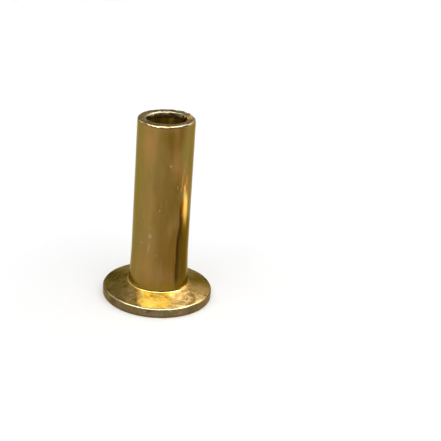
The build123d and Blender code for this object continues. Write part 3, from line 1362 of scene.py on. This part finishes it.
# %% Lamps: azimuth, elevation, width and height in degrees, brightness, who sees it
LAMP_DISTANCE = 1.5          # metres
WARM_WHITE = (1.0, 0.99, 0.96)
LAMPS = {
    "overhead": (10, 66, 60, 20, 1.5, "all"),
    "back_right": (150, 27, 50, 30, 0.6, "all"),
    "top": (0, 86, 50, 34, 0.7, "metal"),
    "lip_right": (128, 26, 34, 22, 3.6, "metal"),
    "lip_left": (-126, 26, 30, 22, 2.2, "metal"),
}
# The ring: how bright each place is by its azimuth, and what hangs at each place
RING = {-96: 0.45, -57: 1.0, -19: 1.0, 19: 1.0, 57: 1.0, 95: 1.0, 133: 0.35}
AT_EACH_PLACE = {"ring": (50, 40, 13, 2.2, "all"), "strip": (51, 40, 28, 5.2, "metal")}
for number, (azimuth, share) in enumerate(RING.items()):
    for kind, (elevation, wide, tall, brightness, seen_by) in AT_EACH_PLACE.items():
        LAMPS[f"{kind}_{number}"] = (azimuth, elevation, wide, tall, brightness * share, seen_by)
print("lamps:", len(LAMPS))

# %% Hang the lamps


def toward(azimuth, elevation):
    """Unit vector to a place round the rivet. Azimuth 0 is in front, 90 on the right."""
    a, e = math.radians(azimuth), math.radians(elevation)
    return Vector((math.sin(a) * math.cos(e), -math.cos(a) * math.cos(e), math.sin(e)))


def hang_lamp(name, place, aim, size, brightness, seen_by, turn=0.0):
    """A rectangular lamp of one brightness, facing a place. Sizes in metres, turn in degrees."""
    lamp = bpy.data.lights.new(name, "AREA")
    lamp.shape = "RECTANGLE"
    lamp.size, lamp.size_y = size
    lamp.energy = math.pi * size[0] * size[1] * brightness
    lamp.color = WARM_WHITE
    holder = bpy.data.objects.new(name, lamp)
    holder.location = place
    faces_aim = (place - aim).to_track_quat("Z", "Y")
    holder.rotation_euler = (faces_aim @ Quaternion((0, 0, 1), math.radians(turn))).to_euler()
    holder.visible_camera = False
    holder.visible_diffuse = seen_by == "all"
    bpy.context.scene.collection.objects.link(holder)


for name, (azimuth, elevation, wide, tall, brightness, seen_by) in LAMPS.items():
    size = [2 * LAMP_DISTANCE * math.tan(math.radians(angle) / 2) for angle in (wide, tall)]
    place = toward(azimuth, elevation) * LAMP_DISTANCE
    hang_lamp(name, place, Vector((0, 0, 0)), size, brightness, seen_by)
    print(f"{name}: {size[0]:.2f} by {size[1]:.2f} m")

# %% [markdown]
# ## A card of light for one streak
# A bright streak leans across the right of the shank. A mirror sends a sight line
# away at the angle it came in at, so the card hangs at twice the streak's own angle
# from the front, and lower, since the camera looks down. It is small and near, so
# the streak is short, and the card's turn gives the streak its lean.

# %% The card, low on the right
STREAK_ANGLE = 54.6          # degrees from the front to where the streak lies
STREAK_HEIGHT = 9.45 * MM
CARD_DISTANCE = 14 * MM
CARD_SIZE = (7.0 * MM, 2.8 * MM)
CARD_TURN = -8               # degrees: its front end is the higher one
CARD_DROP = 6.1 * MM         # how far below the streak the card hangs
CARD_BRIGHTNESS = 4.0

streak = toward(STREAK_ANGLE, 0) * SHANK * MM + Vector((0, 0, STREAK_HEIGHT))
card = streak + toward(2 * STREAK_ANGLE, 0) * CARD_DISTANCE - Vector((0, 0, CARD_DROP))
hang_lamp("low_card", card, streak, CARD_SIZE, CARD_BRIGHTNESS, "metal", CARD_TURN)
print("card at", tuple(round(x, 4) for x in card))

# %% A pale room round it all, which fills the shadows
ROOM_STRENGTH = 0.33

world = bpy.data.worlds.new("studio")
bpy.context.scene.world = world
world.use_nodes = True
room = world.node_tree.nodes["Background"]
room.inputs["Color"].default_value = (1, 1, 1, 1)
room.inputs["Strength"].default_value = ROOM_STRENGTH
print("room strength:", ROOM_STRENGTH)

# %% [markdown]
# ## Camera
# A long lens from in front and a little above, slightly rolled. The rivet stands
# to the left of the middle of the view, so the camera's own sideways and upward
# offsets from its foot are given, measured across the line of sight.

# %% Camera
ELEVATION = 23.566           # degrees
ROLL = 4.418                 # degrees
LENS = 118.07                # millimetres, on a sensor 36 mm wide
DISTANCE = 130.9 * MM
OFFSET_RIGHT = 5.772 * MM
OFFSET_UP = 6.625 * MM
NEAREST_SEEN = 0.001         # metres: nothing nearer than this is drawn

tilt, roll = math.radians(ELEVATION), math.radians(ROLL)
sight = Vector((0, math.cos(tilt), -math.sin(tilt)))
level_right = Vector((1, 0, 0))
level_up = Vector((0, math.sin(tilt), math.cos(tilt)))
right = level_right * math.cos(roll) + level_up * math.sin(roll)
up = level_up * math.cos(roll) - level_right * math.sin(roll)

camera_data = bpy.data.cameras.new("camera")
camera_data.lens = LENS
camera_data.clip_start = NEAREST_SEEN
camera = bpy.data.objects.new("camera", camera_data)
bpy.context.scene.collection.objects.link(camera)
stand = right * OFFSET_RIGHT + up * OFFSET_UP - sight * DISTANCE
camera.matrix_world = Matrix.Translation(stand) @ Matrix((right, up, -sight)).transposed().to_4x4()
bpy.context.scene.camera = camera
bpy.context.scene.view_settings.view_transform = "Standard"
print("camera at", tuple(round(x, 4) for x in stand))
